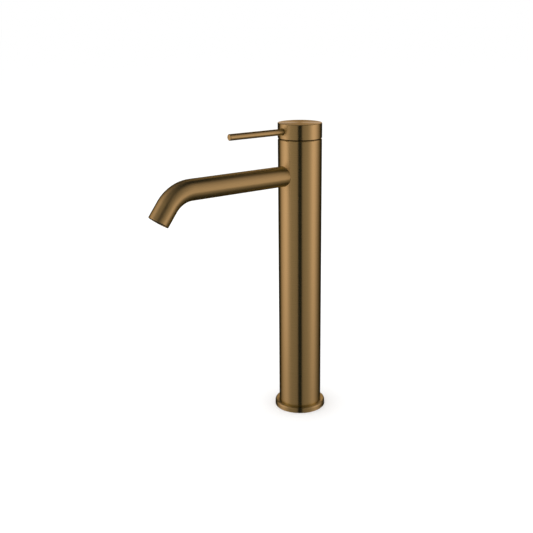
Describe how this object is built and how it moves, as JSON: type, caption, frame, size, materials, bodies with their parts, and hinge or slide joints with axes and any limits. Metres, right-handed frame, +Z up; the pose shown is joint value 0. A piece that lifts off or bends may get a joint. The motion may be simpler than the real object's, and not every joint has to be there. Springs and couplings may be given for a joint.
{
  "type": "basin mixer faucet",
  "caption": "Tall single-lever basin mixer with a round column, a down-turned tube spout and a pin lever that lifts for flow and turns for temperature.",
  "frame": {"origin": "on the column axis, in the plane of the deck that the base stands on", "axes": "+Z up along the column; the spout and the lever at rest point along -Y, towards the person who uses the basin; +X to the right of a person facing the faucet from the front is the cold side"},
  "size_m": [0.054, 0.2007, 0.3096],
  "materials": {
    "bronze": "brushed bronze plating, satin",
    "raw_brass": "machined",
    "black_rubber": "matte",
    "steel": "turned",
    "dark_plastic": "moulded",
    "white_plastic": "moulded",
    "red_plastic": "moulded",
    "ceramic": "lapped"
  },
  "bodies": {
    "fixed_body": {"column_tube": "bronze", "base_flange": "bronze", "base_gasket": "black_rubber", "foot_plug": "raw_brass", "foot_seal": "black_rubber", "hot_riser": "raw_brass", "cold_riser": "raw_brass", "riser_seals": "black_rubber", "valve_block": "raw_brass", "spout_tube": "bronze", "spout_nipple": "raw_brass", "spout_seal": "black_rubber", "spout_lock_screw": "steel", "aerator_housing": "dark_plastic", "aerator_screen": "dark_plastic", "flow_regulator": "dark_plastic", "aerator_seal": "black_rubber", "cartridge_housing": "white_plastic", "cartridge_base": "white_plastic", "port_seals": "black_rubber", "fixed_disc": "ceramic", "stop_ring": "red_plastic", "cartridge_nut": "raw_brass", "dome_ring": "bronze"},
    "turning_rotor": {"lever_rotor": "white_plastic", "pivot_pin": "steel"},
    "lever_handle": {"spindle": "raw_brass", "handle_cap": "bronze", "lever_rod": "bronze", "handle_grub_screw": "steel"},
    "sliding_disc": {"moving_disc": "ceramic", "disc_carrier": "white_plastic"}
  },
  "joints": [
    {"name": "handle_turn", "type": "hinge", "parent": "fixed_body", "child": "turning_rotor", "pos_m": [0, 0, 0.2812], "axis": [0, 0, 1], "range_deg": [-45, 45]},
    {"name": "handle_tilt", "type": "hinge", "parent": "turning_rotor", "child": "lever_handle", "pos_m": [0, 0, 0.2812], "axis": [-1, 0, 0], "range_deg": [0, 20]},
    {"name": "disc_slide", "type": "slide", "parent": "turning_rotor", "child": "sliding_disc", "axis": [0, -1, 0], "range_m": [0, 0.0024]}
  ],
  "couplings": [
    {"joint": "disc_slide", "follows": "handle_tilt", "m_per_rad": 0.0065}
  ]
}
